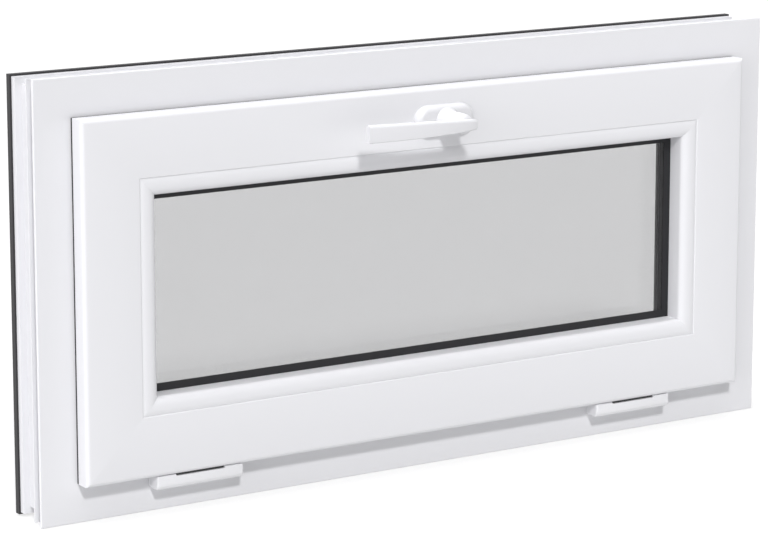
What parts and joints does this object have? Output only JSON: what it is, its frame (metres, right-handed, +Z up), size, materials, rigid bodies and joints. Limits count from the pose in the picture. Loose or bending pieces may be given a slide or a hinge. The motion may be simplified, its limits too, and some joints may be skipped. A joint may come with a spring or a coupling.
{
  "type": "bottom-hung attic window",
  "caption": "Low wide attic window, bottom-hung: white plastic frame and sash with glazing unit, turning handle, hinge covers, grey clad outside.",
  "frame": {"origin": "middle of the sill's underside, on the flange along its room face, 1.4 mm behind that face", "axes": "+X to the right as seen from the room, along the window's width; +Y from the room to the outside; +Z up"},
  "size_m": [1, 0.1536, 0.5],
  "materials": {
    "white_profile": "smooth satin white plastic profile",
    "grey_cladding": "fine matt anthracite powder coat",
    "glass": "clear float glass",
    "black_spacer": "black warm-edge spacer",
    "black_seal": "matt black sealing gasket",
    "white_cap": "smooth white moulded cover",
    "hinge_steel": "dull zinc-plated steel",
    "white_handle": "smooth white powder coat",
    "packer_plastic": "dark hard plastic packer",
    "grey_cap": "matt anthracite moulded cap"
  },
  "bodies": {
    "window": {"drain_cap_left": "grey_cap", "drain_cap_right": "grey_cap", "frame_cladding_bottom": "grey_cladding", "frame_cladding_left": "grey_cladding", "frame_cladding_right": "grey_cladding", "frame_cladding_top": "grey_cladding", "frame_head": "white_profile", "frame_jamb_left": "white_profile", "frame_jamb_right": "white_profile", "frame_sill": "white_profile", "glass_pane_inner": "glass", "glass_pane_outer": "glass", "glass_spacer": "black_spacer", "glazing_bead_bottom": "white_profile", "glazing_bead_left": "white_profile", "glazing_bead_right": "white_profile", "glazing_bead_top": "white_profile", "glazing_gasket_inner": "black_seal", "glazing_gasket_outer": "black_seal", "handle_rosette": "white_handle", "hinge_cover_left": "white_cap", "hinge_cover_right": "white_cap", "hinge_frame_leaf_left": "hinge_steel", "hinge_frame_leaf_right": "hinge_steel", "hinge_pin_left": "hinge_steel", "hinge_pin_right": "hinge_steel", "hinge_sash_leaf_left": "hinge_steel", "hinge_sash_leaf_right": "hinge_steel", "rebate_seal_inner": "black_seal", "rebate_seal_outer": "black_seal", "sash_bottom_rail": "white_profile", "sash_cladding_bottom": "grey_cladding", "sash_cladding_left": "grey_cladding", "sash_cladding_right": "grey_cladding", "sash_cladding_top": "grey_cladding", "sash_stile_left": "white_profile", "sash_stile_right": "white_profile", "sash_top_rail": "white_profile", "sill_packer_left": "packer_plastic", "sill_packer_right": "packer_plastic"},
    "handle": {"handle_lever": "white_handle", "handle_spindle": "hinge_steel"}
  },
  "joints": [
    {"name": "handle_turn", "type": "hinge", "parent": "window", "child": "handle", "pos_m": [0.011, -0.0363, 0.4168], "axis": [0, -1, 0], "range_deg": [0, 90]}
  ]
}
